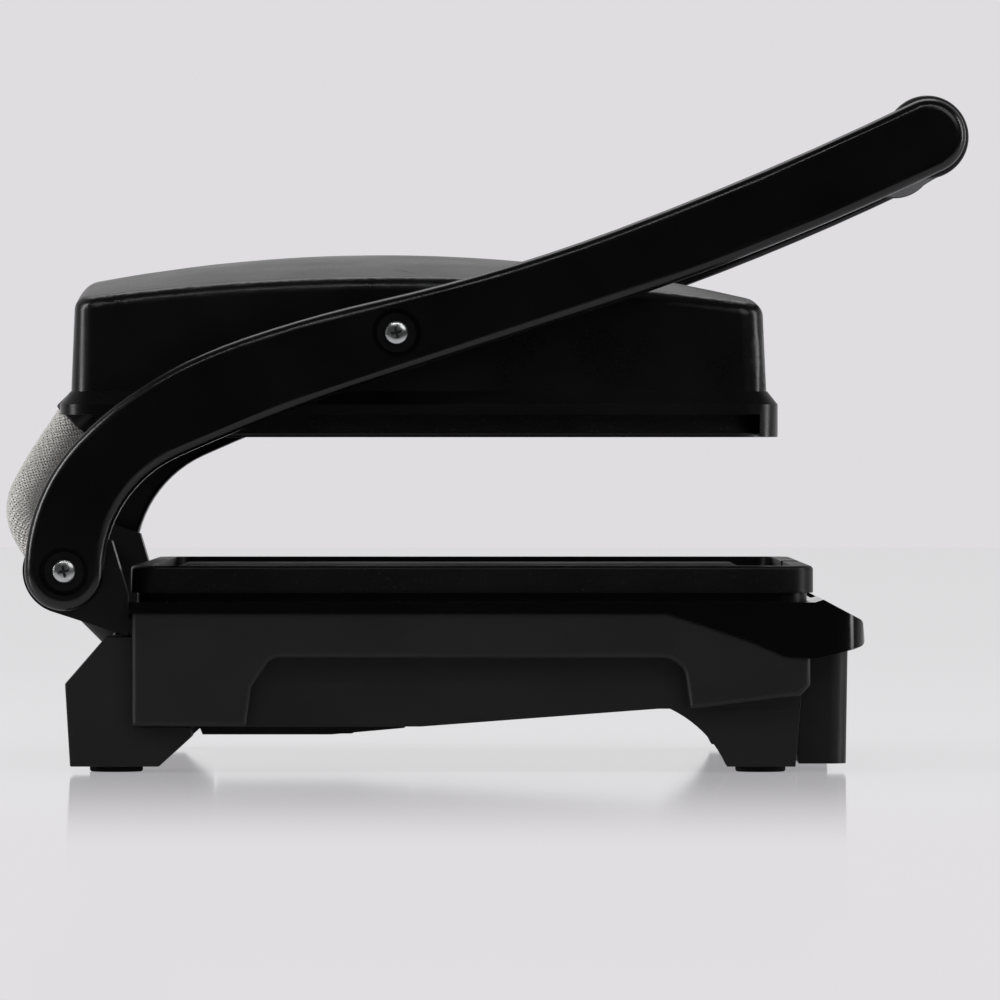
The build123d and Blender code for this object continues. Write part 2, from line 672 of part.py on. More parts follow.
def washer(side, y, z):
    """A flat washer on the end of a pin."""
    with BuildPart() as ring:
        add(rod(WASHER_R, side * PIN_END, side * (PIN_END + WASHER_T), y, z))
        add(rod(2.0, side * (PIN_END - 1), side * (PIN_END + WASHER_T + 1), y, z), mode=Mode.SUBTRACT)
    return ring.part


arm_screw = screw(4.0, 2.6, 2.0, 11.0, cross=1.0)
hinge_pins = group(*[shouldered_pin(s, 7.0, 125.0, 127.6, HINGE_Y, HINGE_Z) for s in (-1, 1)])
hinge_pins.label = "hinge_pins"
hinge_washers = group(*[washer(s, HINGE_Y, HINGE_Z) for s in (-1, 1)])
hinge_washers.label = "hinge_washers"
hinge_screws = group(*[along_x(arm_screw, s, PIN_END + WASHER_T, HINGE_Y, HINGE_Z) for s in (-1, 1)])
hinge_screws.label = "hinge_screws"
pivot_studs = group(*[shouldered_pin(s, 8.0, 129.8, 132.0, PIVOT_Y, PIVOT_Z) for s in (-1, 1)])
pivot_studs.label = "pivot_studs"
pivot_washers = group(*[washer(s, PIVOT_Y, PIVOT_Z) for s in (-1, 1)])
pivot_washers.label = "pivot_washers"
pivot_screws = group(*[along_x(arm_screw, s, PIN_END + WASHER_T, PIVOT_Y, PIVOT_Z) for s in (-1, 1)])
pivot_screws.label = "pivot_screws"
collars = []
for side in (-1, 1):
    with BuildPart() as collar:
        add(rod(9.0, side * 134.0, side * 141.7, PIVOT_Y, PIVOT_Z))
        add(rod(PIN_R, side * 133, side * 142, PIVOT_Y, PIVOT_Z), mode=Mode.SUBTRACT)
    collars.append(collar.part)
pivot_collars = group(*collars)
pivot_collars.label = "pivot_collars"

# Lift arms
# Outline in distances forward of and above the hinge: it stands upright at the hinge, turns over and runs
# forward over the lid to the grip, thinner towards its end.
TIP = (290.0, 146.0)
TIP_R, HUB_R = 12.4, 13.3
CORE_R, CORE_END = 8.0, 150.0
ARM_UPPER = [(4.3, 43.9), (41.9, 70.9), (60.0, 78.2), (104.5, 90.7), (185.4, 114.7), (284.6, 157.2)]
TIP_LOW = (295.4, 134.8)
ARM_LOWER = [(38.0, 38.3), (96.1, 61.2), (186.2, 90.4)]


def from_hinge(forward, up):
    """A point of the arm's outline as a place in the grill."""
    return (HINGE_Y - forward, HINGE_Z + up)


def arc_chain(start, heading, points):
    """Tangent arcs from start through the points, each leaving in the direction in which the last one ended."""
    for point in points:
        arc = TangentArc(start, from_hinge(*point), tangent=heading)
        start, heading = arc @ 1, arc % 1
    return start, heading


def lift_arm(side, name):
    """One arm: a thick blade with rounded edges, a screw recess at each pivot and a socket for the grip's core."""
    with BuildPart() as arm:
        with BuildSketch(Plane.YZ.offset(side * ARM_INNER)):
            with BuildLine():
                tip_up, heading = arc_chain(from_hinge(-HUB_R, 0), (0, 1), ARM_UPPER)
                tip = TangentArc(tip_up, from_hinge(*TIP_LOW), tangent=heading)
                arc_chain(tip @ 1, tip % 1, ARM_LOWER[-1:])
                arc_chain(from_hinge(HUB_R, 0), (0, 1), ARM_LOWER)
                ThreePointArc(from_hinge(HUB_R, 0), from_hinge(0, -HUB_R), from_hinge(-HUB_R, 0))
            make_face()
        extrude(amount=side * (ARM_OUTER - ARM_INNER))
        fillet(arm.faces().filter_by(Axis.X).sort_by(Axis.X)[-1 if side > 0 else 0].edges(), 3.6)
        fillet(arm.faces().filter_by(Axis.X).sort_by(Axis.X)[0 if side > 0 else -1].edges(), 1.5)
        for y, z in ((HINGE_Y, HINGE_Z), (PIVOT_Y, PIVOT_Z)):
            add(rod(PIN_R + RUNNING, side * (ARM_INNER - 1), side * (ARM_OUTER + 1), y, z), mode=Mode.SUBTRACT)
            add(rod(RECESS_R, side * RECESS_FLOOR, side * (ARM_OUTER + 1), y, z), mode=Mode.SUBTRACT)
        grip_y, grip_z = from_hinge(*TIP)
        add(rod(CORE_R, side * (ARM_INNER - 1), side * CORE_END, grip_y, grip_z), mode=Mode.SUBTRACT)
    arm.part.label = name
    return arm.part


left_arm = lift_arm(-1, "left_arm")
right_arm = lift_arm(1, "right_arm")

# Handle: a steel core tube between the arms inside a heat-proof grip
GRIP_R = 14.0
GRIP_Y, GRIP_Z = from_hinge(*TIP)
with BuildPart() as handle_core:
    with BuildSketch(Plane.YZ.offset(-CORE_END)):
        with Locations((GRIP_Y, GRIP_Z)):
            Circle(CORE_R)
            Circle(CORE_R - 1.5, mode=Mode.SUBTRACT)
    extrude(amount=2 * CORE_END)
handle_core.part.label = "handle_core"
with BuildPart() as handle_grip:
    with BuildSketch(Plane.YZ.offset(-ARM_INNER)):
        with Locations((GRIP_Y, GRIP_Z)):
            Circle(GRIP_R)
    extrude(amount=2 * ARM_INNER)
    fillet(handle_grip.edges().filter_by(GeomType.CIRCLE), 2.0)
    with BuildSketch(Plane.YZ.offset(-ARM_INNER)):
        with Locations((GRIP_Y, GRIP_Z)):
            Circle(CORE_R)
    extrude(amount=2 * ARM_INNER, mode=Mode.SUBTRACT)
handle_grip.part.label = "handle_grip"

# Lid housing
# A moulded dome, crowned both ways, with a flared lip all round that drops lower at the front.
CROWN_EDGE = ((136.8, 159.4), (40.0, 166.6), (-95.3, 157.6))
CROWN_MIDDLE = ((136.8, 166.6), (36.0, 176.6), (-95.3, 160.6))
LID_CORNER, LID_EDGE = 8.0, 5.0


def dome(inset, floor_z):
    """The lid's outer block, or the space inside it when inset by the wall."""
    with BuildPart() as block:
        for x, crown in ((-LID_HALF + inset, CROWN_EDGE), (0, CROWN_MIDDLE), (LID_HALF - inset, CROWN_EDGE)):
            rear, top, front = [(y, z - inset) for y, z in crown]
            rear = (rear[0] - inset, rear[1])
            front = (front[0] + inset, front[1])
            with BuildSketch(Plane.YZ.offset(x)):
                with BuildLine():
                    Line((LID_FRONT + inset, floor_z), (LID_REAR - inset, floor_z))
                    Line((LID_REAR - inset, floor_z), rear)
                    ThreePointArc(rear, top, front)
                    Line(front, (LID_FRONT + inset, floor_z))
                make_face()
        loft()
        uprights = block.edges().filter_by_position(Axis.Z, floor_z + 5, 150)
        fillet(uprights, max(LID_CORNER - inset, 1.0))
        top_edges = block.faces().sort_by(Axis.Z)[-1].edges()
        fillet(top_edges, max(LID_EDGE - inset, 1.0))
    return block.part


lid_outer = dome(0.0, LIP_BOTTOM)
lid_inner = dome(LID_WALL, LIP_BOTTOM - 10)
LIP_REAR_Y, LIP_FRONT_Y = LID_REAR + LIP_OUT, LID_FRONT - LIP_OUT
LID_SCREWS = [(124.0, 122.5, 159.5), (124.0, -84.0, 158.0)]
GLAND_Y, GLAND_Z = 139.5, 118.6
GLAND_AXIS = Plane(origin=(CABLE_X, GLAND_Y, GLAND_Z), z_dir=(0, -1, 1))
GLAND_R = 7.0
with BuildPart() as lid_housing:
    add(lid_outer)
    with BuildSketch(Plane.XY.offset(LIP_BOTTOM)):
        with Locations((0, (LIP_REAR_Y + LIP_FRONT_Y) / 2)):
            RectangleRounded(2 * (LID_HALF + LIP_OUT), LIP_REAR_Y - LIP_FRONT_Y, LID_CORNER + LIP_OUT)
    extrude(amount=LIP_TOP - LIP_BOTTOM)
    with BuildSketch(Plane.XY.offset(LIP_TOP)):
        with Locations((0, (LIP_REAR_Y + LIP_FRONT_Y) / 2)):
            RectangleRounded(2 * (LID_HALF + LIP_OUT), LIP_REAR_Y - LIP_FRONT_Y, LID_CORNER + LIP_OUT)
    extrude(amount=FLARE_TOP - LIP_TOP, taper=degrees(atan2(LIP_OUT, FLARE_TOP - LIP_TOP)))
    # Front apron, level with the upper plate's face
    with BuildSketch(Plane.XY.offset(UPPER_BOTTOM)) as apron:
        with Locations((0, (LIP_REAR_Y + LIP_FRONT_Y) / 2)):
            RectangleRounded(2 * (LID_HALF + LIP_OUT), LIP_REAR_Y - LIP_FRONT_Y, LID_CORNER + LIP_OUT)
        with Locations((0, 100)):
            Rectangle(400, 2 * (100 + 94.2), mode=Mode.SUBTRACT)
    extrude(amount=LIP_BOTTOM - UPPER_BOTTOM)
    add(lid_inner, mode=Mode.SUBTRACT)
    for side in (-1, 1):
        for x, y, top in LID_SCREWS:
            with BuildSketch(Plane.XY.offset(LID_TRAY_TOP)):
                with Locations((side * x, y)):
                    Circle(4.2)
            extrude(amount=top - LID_TRAY_TOP)
            with BuildSketch(Plane.XY.offset(LID_TRAY_TOP)):
                with Locations((side * x, y)):
                    Circle(1.5)
            extrude(amount=14, mode=Mode.SUBTRACT)
        add(rod(9.1, side * 130, side * 141, PIVOT_Y, PIVOT_Z), mode=Mode.SUBTRACT)
    with BuildSketch(GLAND_AXIS.offset(-6)):
        Circle(GLAND_R)
    extrude(amount=17, mode=Mode.SUBTRACT)
    with BuildSketch(Plane.XZ.offset(-LID_FRONT - 5)):
        with Locations(*both_sides([(9.0, 136.0)])):
            Circle(3.0)
    extrude(amount=12, mode=Mode.SUBTRACT)
lid_housing.part.label = "lid_housing"

# Lid tray: the inner frame that closes the lid from below and carries the upper plate
with BuildPart() as lid_tray:
    with BuildSketch(Plane.XY.offset(UPPER_BACK)):
        with Locations((0, (LID_REAR + LID_FRONT) / 2)):
            RectangleRounded(2 * (LID_HALF - LID_WALL - 0.3), LID_REAR - LID_FRONT - 2 * (LID_WALL + 0.5), 7)
        with Locations((0, 13.5)):
            RectangleRounded(232, 199, 6, mode=Mode.SUBTRACT)
    extrude(amount=LID_TRAY_TOP - UPPER_BACK)
    with BuildSketch(Plane.XY.offset(UPPER_BACK - 1)):
        with Locations(*both_sides(PLATE_SCREWS_UPPER)):
            Circle(2.2)
        with Locations(*both_sides([p[:2] for p in LID_SCREWS])):
            Circle(1.7)
    extrude(amount=8, mode=Mode.SUBTRACT)
    with BuildSketch(Plane.XY.offset(UPPER_BACK - 1)):
        with Locations(*both_sides([p[:2] for p in LID_SCREWS])):
            Circle(3.3)
    extrude(amount=2.9, mode=Mode.SUBTRACT)
    with BuildSketch(GLAND_AXIS.offset(-6)):
        Circle(GLAND_R)
    extrude(amount=17, mode=Mode.SUBTRACT)
lid_tray.part.label = "lid_tray"

with BuildPart() as upper_cable_gland:
    with BuildSketch(GLAND_AXIS):
        Circle(GLAND_R)
    extrude(amount=10.5)
    fillet(upper_cable_gland.faces().sort_by(Axis.Y)[-1].edges(), 0.8)
upper_cable_gland.part.label = "upper_cable_gland"

lid_screw = screw(3.1, 1.8, 1.5, 14.0)
lid_screws = group(*[Location((x, y, UPPER_BACK + 1.9)) * lid_screw for x, y in both_sides([p[:2] for p in LID_SCREWS])])
lid_screws.label = "lid_screws"

plate_screw = screw(3.4, 2.2, 2.0, 7.0)
upper_plate_screws = group(
    *[Location((x, y, LID_TRAY_TOP), (180, 0, 0)) * plate_screw for x, y in both_sides(PLATE_SCREWS_UPPER)]
)
upper_plate_screws.label = "upper_plate_screws"

# Pivot brackets: folded steel on the tray, which carry the lid's studs
folded = []
for side in (-1, 1):
    with BuildPart() as folded_bracket:
        with BuildSketch(Plane.YZ.offset(side * 132.0)):
            with Locations((PIVOT_Y, (LID_TRAY_TOP + PIVOT_Z + 9) / 2)):
                RectangleRounded(28, PIVOT_Z + 9 - LID_TRAY_TOP, 0.5)
            with Locations((PIVOT_Y, PIVOT_Z)):
                Circle(PIN_R, mode=Mode.SUBTRACT)
        extrude(amount=side * 1.9)
        with BuildSketch(Plane.XY.offset(LID_TRAY_TOP)):
            with Locations((side * 128.4, PIVOT_Y)):
                Rectangle(11.0, 28)
        extrude(amount=2)
    folded.append(folded_bracket.part)
pivot_brackets = group(*folded)
pivot_brackets.label = "pivot_brackets"

# Indicator lenses in the lid's front wall
lenses = []
for x in (-9.0, 9.0):
    with BuildPart() as lens:
        with BuildSketch(Plane.XZ.offset(-LID_FRONT + 0.8)):
            with Locations((x, 136.0)):
                Circle(3.0)
        extrude(amount=-7)
        fillet(lens.faces().sort_by(Axis.Y)[0].edges(), 0.8)
    lenses.append(lens.part)
indicator_lenses = group(*lenses)
indicator_lenses.label = "indicator_lenses"

# Braided cable sleeve
# It leaves the base at a half right angle, loops round behind the hinge and enters the lid at the same
# angle, and it bends as the lid moves. Places along it are pairs of Y and Z.
LOOP_REAR = 164.5 - SLEEVE_R
LOOP_CORNER = (
    (GLAND_Y + GLAND_Z + FRAME_REAR - CABLE_WALL_Z) / 2,
    (GLAND_Y + GLAND_Z - FRAME_REAR + CABLE_WALL_Z) / 2,
)
LOOP_R = (LOOP_CORNER[0] - LOOP_REAR) / (2**0.5 - 1)
BEND_START = BOOT_FACE + 20.5


def along_cable(distance):
    """A place on the lower straight, at a distance from the wall."""
    return (FRAME_REAR + distance * cos(pi / 4), CABLE_WALL_Z + distance * sin(pi / 4))


def on_loop(angle):
    """A place on the loop, at an angle above level."""
    turn = radians(angle)
    return (LOOP_REAR - LOOP_R + LOOP_R * cos(turn), LOOP_CORNER[1] + LOOP_R * sin(turn))


def sleeve(name, *stretches):
    """One length of the sleeve, from stretches that are arcs (three points) or straight (two points)."""
    with BuildPart() as tube:
        with BuildLine(Plane.YZ.offset(CABLE_X)) as route:
            for stretch in stretches:
                if len(stretch) == 3:
                    ThreePointArc(*stretch)
                else:
                    Line(*stretch)
        with BuildSketch(Plane(origin=route.line @ 0, z_dir=route.line % 0)):
            Circle(SLEEVE_R)
        sweep()
    tube.part.label = name
    return tube.part


sleeve_lower = sleeve("sleeve_lower", (along_cable(BOOT_FACE), along_cable(BEND_START)))
sleeve_middle = sleeve(
    "sleeve_middle", (along_cable(BEND_START), on_loop(-45)), (on_loop(-45), on_loop(-10), on_loop(25))
)
sleeve_upper = sleeve("sleeve_upper", (on_loop(25), on_loop(35), on_loop(45)), (on_loop(45), (GLAND_Y, GLAND_Z)))
SLEEVE_LENGTH = (
    hypot(on_loop(-45)[0] - FRAME_REAR, on_loop(-45)[1] - CABLE_WALL_Z) - BOOT_FACE
    + radians(90) * LOOP_R + hypot(on_loop(45)[0] - GLAND_Y, on_loop(45)[1] - GLAND_Z)
)
print("cable sleeve", round(SLEEVE_LENGTH, 1), "mm long, with a bend of", round(LOOP_R, 1), "mm")

PIECES = [
    *parted.values(), base_housing, base_top_frame, base_cover, base_cover_screws, rubber_feet, lower_plate, lower_plate_screws,
    lower_element, lower_heat_shield, lower_thermostat, thermal_fuse, terminal_block, mains_gland,
    lower_cable_gland, left_hinge_bracket, right_hinge_bracket, hinge_bushes, bracket_screws, hinge_pins,
    hinge_washers, hinge_screws, left_arm, right_arm, handle_core, handle_grip, lid_housing, lid_tray,
    lid_screws, upper_plate, upper_plate_screws, upper_element, upper_heat_shield, upper_thermostat, upper_cable_gland,
    pivot_brackets, pivot_studs, pivot_collars, pivot_washers, pivot_screws, indicator_lenses,
    sleeve_lower, sleeve_middle, sleeve_upper,
]
os.makedirs("parts", exist_ok=True)
for piece in PIECES:
    solid = piece.part if isinstance(piece, BuildPart) else piece
    export_step(solid, f"parts/{solid.label}.step")
    print(solid.label, len(solid.solids()), round(solid.volume / 1000, 2), "cm3")
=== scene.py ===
import bpy, bmesh, json
from math import cos, pi, radians, sin, tau
from mathutils import Matrix, Vector


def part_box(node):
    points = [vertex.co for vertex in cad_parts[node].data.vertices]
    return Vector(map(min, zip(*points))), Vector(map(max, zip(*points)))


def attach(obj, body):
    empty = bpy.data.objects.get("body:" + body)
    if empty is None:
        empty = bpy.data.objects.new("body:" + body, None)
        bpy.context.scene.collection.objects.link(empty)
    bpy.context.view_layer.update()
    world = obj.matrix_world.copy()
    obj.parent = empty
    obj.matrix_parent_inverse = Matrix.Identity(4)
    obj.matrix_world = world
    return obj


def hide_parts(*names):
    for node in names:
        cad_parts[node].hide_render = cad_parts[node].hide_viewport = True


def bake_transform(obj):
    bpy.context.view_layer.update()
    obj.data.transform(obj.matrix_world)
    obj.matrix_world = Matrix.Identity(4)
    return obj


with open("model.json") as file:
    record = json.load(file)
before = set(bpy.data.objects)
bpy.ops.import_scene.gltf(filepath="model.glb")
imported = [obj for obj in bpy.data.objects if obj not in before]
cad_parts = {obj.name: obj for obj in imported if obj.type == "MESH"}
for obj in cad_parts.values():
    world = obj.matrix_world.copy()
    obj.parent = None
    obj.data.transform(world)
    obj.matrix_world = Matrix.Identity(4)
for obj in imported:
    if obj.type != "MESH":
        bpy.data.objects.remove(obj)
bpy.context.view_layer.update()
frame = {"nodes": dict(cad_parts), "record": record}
bpy.ops.object.select_all(action="DESELECT")

# Camera
# A long lens a little above the worktop, level and square to the left side, as a catalogue shot is taken.
# The lens grows with the distance, so the near side panel keeps its size in the picture.
NEAR_PANEL = -0.148
DISTANCE = 3.4
LENS_PER_METRE = 107.18
EYE_Y, EYE_HEIGHT = -0.0067, 0.112
bpy.ops.object.camera_add(
    location=(NEAR_PANEL - DISTANCE, EYE_Y, EYE_HEIGHT), rotation=(radians(90), 0, radians(-90)))
camera = bpy.context.object
camera.data.sensor_width = 36.0
camera.data.lens = LENS_PER_METRE * DISTANCE
camera.data.shift_y = -0.06
bpy.context.scene.camera = camera
bpy.context.scene.view_settings.view_transform = "Standard"

# Worktop and room
# A pale lacquered top with a faint reflection, which runs into a plain pale room of the same colour. The side
# towards the camera is dark in reflections only, as with black cards beside the lens.
ROOM = (0.737, 0.722, 0.745, 1.0)
bpy.ops.mesh.primitive_plane_add(size=14.0, location=(0, 0, 0))
worktop = bpy.context.object
worktop.name = "worktop"
lacquer = bpy.data.materials.new("pale_lacquer")
lacquer.use_nodes = True
nodes, links = lacquer.node_tree.nodes, lacquer.node_tree.links
skin = nodes["Principled BSDF"]
skin.inputs["Base Color"].default_value = ROOM
skin.inputs["Roughness"].default_value = 0.07
ray = nodes.new("ShaderNodeLightPath")
glow = nodes.new("ShaderNodeEmission")
glow.inputs["Color"].default_value = (0.756, 0.741, 0.764, 1.0)
share = nodes.new("ShaderNodeMath")
share.operation = "MULTIPLY"
mixed = nodes.new("ShaderNodeMixShader")
links.new(ray.outputs["Is Camera Ray"], share.inputs[0])
links.new(share.outputs[0], mixed.inputs[0])
links.new(skin.outputs[0], mixed.inputs[1])
links.new(glow.outputs[0], mixed.inputs[2])
place, parts, near_side, carded, cards, card = [nodes.new(kind) for kind in (
    "ShaderNodeNewGeometry", "ShaderNodeSeparateXYZ", "ShaderNodeMapRange", "ShaderNodeMath",
    "ShaderNodeMixShader", "ShaderNodeEmission")]
near_side.interpolation_type = "SMOOTHSTEP"
near_side.inputs["From Min"].default_value = -0.30
near_side.inputs["From Max"].default_value = -0.75
carded.operation = "MULTIPLY"
card.inputs["Color"].default_value = (0.012, 0.012, 0.012, 1.0)
links.new(place.outputs["Position"], parts.inputs[0])
links.new(parts.outputs["X"], near_side.inputs["Value"])
mirror = nodes.new("ShaderNodeMapRange")
mirror.interpolation_type = "SMOOTHSTEP"
mirror.inputs["From Min"].default_value = -0.16
mirror.inputs["From Max"].default_value = -0.80
mirror.inputs["To Min"].default_value = 0.42
mirror.inputs["To Max"].default_value = 0.98
links.new(parts.outputs["X"], mirror.inputs["Value"])
links.new(mirror.outputs["Result"], share.inputs[1])
links.new(near_side.outputs["Result"], carded.inputs[0])
links.new(ray.outputs["Is Glossy Ray"], carded.inputs[1])
links.new(carded.outputs[0], cards.inputs[0])
links.new(mixed.outputs[0], cards.inputs[1])
links.new(card.outputs[0], cards.inputs[2])
links.new(cards.outputs[0], nodes["Material Output"].inputs["Surface"])
worktop.data.materials.append(lacquer)

room = bpy.data.worlds.new("studio_room")
bpy.context.scene.world = room
room.use_nodes = True
nodes, links = room.node_tree.nodes, room.node_tree.links
soft = nodes["Background"]
soft.inputs["Color"].default_value = (0.95, 0.96, 1.0, 1.0)
soft.inputs["Strength"].default_value = 0.36
seen = nodes.new("ShaderNodeBackground")
seen.inputs["Color"].default_value = ROOM
mirrored = nodes.new("ShaderNodeBackground")
toward = nodes.new("ShaderNodeTexCoord")
split = nodes.new("ShaderNodeSeparateXYZ")
fade = nodes.new("ShaderNodeMapRange")
fade.interpolation_type = "SMOOTHSTEP"
low_down = nodes.new("ShaderNodeMapRange")
low_down.interpolation_type = "SMOOTHSTEP"
low_down.inputs["From Min"].default_value = 0.22
low_down.inputs["From Max"].default_value = 0.08
beyond = nodes.new("ShaderNodeMapRange")
beyond.inputs["From Min"].default_value = 0.2
beyond.inputs["From Max"].default_value = 0.8
backdrop = nodes.new("ShaderNodeMath")
backdrop.operation = "MULTIPLY"
level = nodes.new("ShaderNodeMix")
level.inputs["B"].default_value = 0.78
fade.inputs["From Min"].default_value = -0.1
fade.inputs["From Max"].default_value = 0.85
fade.inputs["To Min"].default_value = 0.02
fade.inputs["To Max"].default_value = 0.42
ray = nodes.new("ShaderNodeLightPath")
glossy = nodes.new("ShaderNodeMath")
glossy.operation = "MAXIMUM"
first, second = nodes.new("ShaderNodeMixShader"), nodes.new("ShaderNodeMixShader")
links.new(toward.outputs["Generated"], split.inputs[0])
links.new(split.outputs["X"], fade.inputs["Value"])
links.new(fade.outputs["Result"], level.inputs["A"])
links.new(split.outputs["Z"], low_down.inputs["Value"])
links.new(split.outputs["X"], beyond.inputs["Value"])
links.new(low_down.outputs["Result"], backdrop.inputs[0])
links.new(beyond.outputs["Result"], backdrop.inputs[1])
links.new(backdrop.outputs[0], level.inputs["Factor"])
links.new(level.outputs["Result"], mirrored.inputs["Color"])
links.new(ray.outputs["Is Glossy Ray"], glossy.inputs[0])
links.new(ray.outputs["Is Transmission Ray"], glossy.inputs[1])
links.new(glossy.outputs[0], first.inputs[0])
links.new(soft.outputs[0], first.inputs[1])
links.new(mirrored.outputs[0], first.inputs[2])
links.new(ray.outputs["Is Camera Ray"], second.inputs[0])
links.new(first.outputs[0], second.inputs[1])
links.new(seen.outputs[0], second.inputs[2])
links.new(second.outputs[0], nodes["World Output"].inputs["Surface"])

# Lamps
# A broad soft box high beyond the grill, strips behind the hinge and in front, a low fill beside the camera
# and a thin strip over it, which draws the light lines along the lid's edges.
for name, place, target, size, watts in (
    ("far_box", (0.75, 0.15, 1.35), (0, 0, 0.1), (1.2, 0.7), 4.5),
    ("rear_strip", (-0.45, 1.35, 0.65), (0, 0.05, 0.1), (0.3, 1.1), 11.0),
    ("camera_fill", (-1.35, -0.75, 0.85), (0, 0, 0.06), (0.8, 0.6), 2.5),
    ("front_strip", (-0.25, -1.45, 0.5), (0, 0, 0.1), (0.25, 1.0), 6.0),
    ("edge_strip", (-1.20, 0.0, 1.25), (0, 0, 0.1), (1.6, 0.05), 3.0),
):
    bpy.ops.object.light_add(type="AREA", location=place)
    lamp = bpy.context.object
    lamp.name = name
    lamp.data.shape = "RECTANGLE"
    lamp.data.size, lamp.data.size_y = size
    lamp.data.energy = watts
    lamp.rotation_euler = (Vector(target) - Vector(place)).to_track_quat("-Z", "Y").to_euler()

# Base housing
# Black injection-moulded plastic with a fine spark-eroded skin: a tub, its raised side panels with the grip
# recesses, the legs and the front panel. Corners eased by a fraction of a millimetre catch the light.
BODY_OF = {node: body for body, members in frame["record"]["behaviour"]["bodies"].items() for node in members}


def grain_group():
    """A fine surface grain, in grains per metre: it breaks up the roughness and gives a small relief."""
    tree = bpy.data.node_groups.new("surface_grain", "ShaderNodeTree")
    for name, value in (
        ("Grains", 2500.0), ("Relief", 0.1), ("Depth", 0.0001), ("Rough Low", 0.4), ("Rough High", 0.5),
    ):
        tree.interface.new_socket(name, in_out="INPUT", socket_type="NodeSocketFloat").default_value = value
    for name, kind in (("Roughness", "NodeSocketFloat"), ("Normal", "NodeSocketVector")):
        tree.interface.new_socket(name, in_out="OUTPUT", socket_type=kind)
    enter, leave = tree.nodes.new("NodeGroupInput"), tree.nodes.new("NodeGroupOutput")
    where, fine, wide = [tree.nodes.new(kind) for kind in (
        "ShaderNodeTexCoord", "ShaderNodeTexNoise", "ShaderNodeTexNoise")]
    fine.inputs["Detail"].default_value = 3.0
    wide.inputs["Scale"].default_value = 38.0
    wide.inputs["Detail"].default_value = 4.0
    both, spread, bump = [tree.nodes.new(kind) for kind in (
        "ShaderNodeMath", "ShaderNodeMapRange", "ShaderNodeBump")]
    both.operation = "MULTIPLY_ADD"
    both.inputs[1].default_value = 0.45
    spread.inputs["From Min"].default_value = 0.5
    spread.inputs["From Max"].default_value = 0.95
    for start, end in (
        (where.outputs["Object"], fine.inputs["Vector"]), (where.outputs["Object"], wide.inputs["Vector"]),
        (enter.outputs["Grains"], fine.inputs["Scale"]), (fine.outputs["Fac"], both.inputs[0]),
        (wide.outputs["Fac"], both.inputs[2]), (both.outputs[0], spread.inputs["Value"]),
        (enter.outputs["Rough Low"], spread.inputs["To Min"]),
        (enter.outputs["Rough High"], spread.inputs["To Max"]),
        (spread.outputs["Result"], leave.inputs["Roughness"]), (fine.outputs["Fac"], bump.inputs["Height"]),
        (enter.outputs["Relief"], bump.inputs["Strength"]), (enter.outputs["Depth"], bump.inputs["Distance"]),
        (bump.outputs["Normal"], leave.inputs["Normal"]),
    ):
        tree.links.new(start, end)
    return tree


def dust_group():
    """Light dust and handling on upward faces, mixed into a colour."""
    tree = bpy.data.node_groups.new("settled_dust", "ShaderNodeTree")
    for name, kind, value in (
        ("Color", "NodeSocketColor", (0.02, 0.02, 0.02, 1)),
        ("Dust Color", "NodeSocketColor", (0.2, 0.19, 0.18, 1)),
        ("Amount", "NodeSocketFloat", 0.1),
    ):
        tree.interface.new_socket(name, in_out="INPUT", socket_type=kind).default_value = value
    tree.interface.new_socket("Color", in_out="OUTPUT", socket_type="NodeSocketColor")
    enter, leave = tree.nodes.new("NodeGroupInput"), tree.nodes.new("NodeGroupOutput")
    where, patch, face, up = [tree.nodes.new(kind) for kind in (
        "ShaderNodeTexCoord", "ShaderNodeTexNoise", "ShaderNodeNewGeometry", "ShaderNodeSeparateXYZ")]
    patch.inputs["Scale"].default_value = 26.0
    patch.inputs["Detail"].default_value = 6.0
    band, lift, level, mixed = [tree.nodes.new(kind) for kind in (
        "ShaderNodeMapRange", "ShaderNodeMapRange", "ShaderNodeMath", "ShaderNodeMix")]
    band.inputs["From Min"].default_value = 0.42
    band.inputs["From Max"].default_value = 0.75
    lift.inputs["From Min"].default_value = -0.3
    lift.inputs["From Max"].default_value = 1.0
    lift.inputs["To Min"].default_value = 0.15
    level.operation = "MULTIPLY"
    scaled = tree.nodes.new("ShaderNodeMath")
    scaled.operation = "MULTIPLY"
    mixed.data_type = "RGBA"
    for start, end in (
        (where.outputs["Object"], patch.inputs["Vector"]), (patch.outputs["Fac"], band.inputs["Value"]),
        (face.outputs["Normal"], up.inputs[0]), (up.outputs["Z"], lift.inputs["Value"]),
        (band.outputs["Result"], level.inputs[0]), (lift.outputs["Result"], level.inputs[1]),
        (level.outputs[0], scaled.inputs[0]), (enter.outputs["Amount"], scaled.inputs[1]),
        (scaled.outputs[0], mixed.inputs["Factor"]), (enter.outputs["Color"], mixed.inputs["A"]),
        (enter.outputs["Dust Color"], mixed.inputs["B"]), (mixed.outputs["Result"], leave.inputs["Color"]),
    ):
        tree.links.new(start, end)
    return tree


GRAIN, DUST = grain_group(), dust_group()


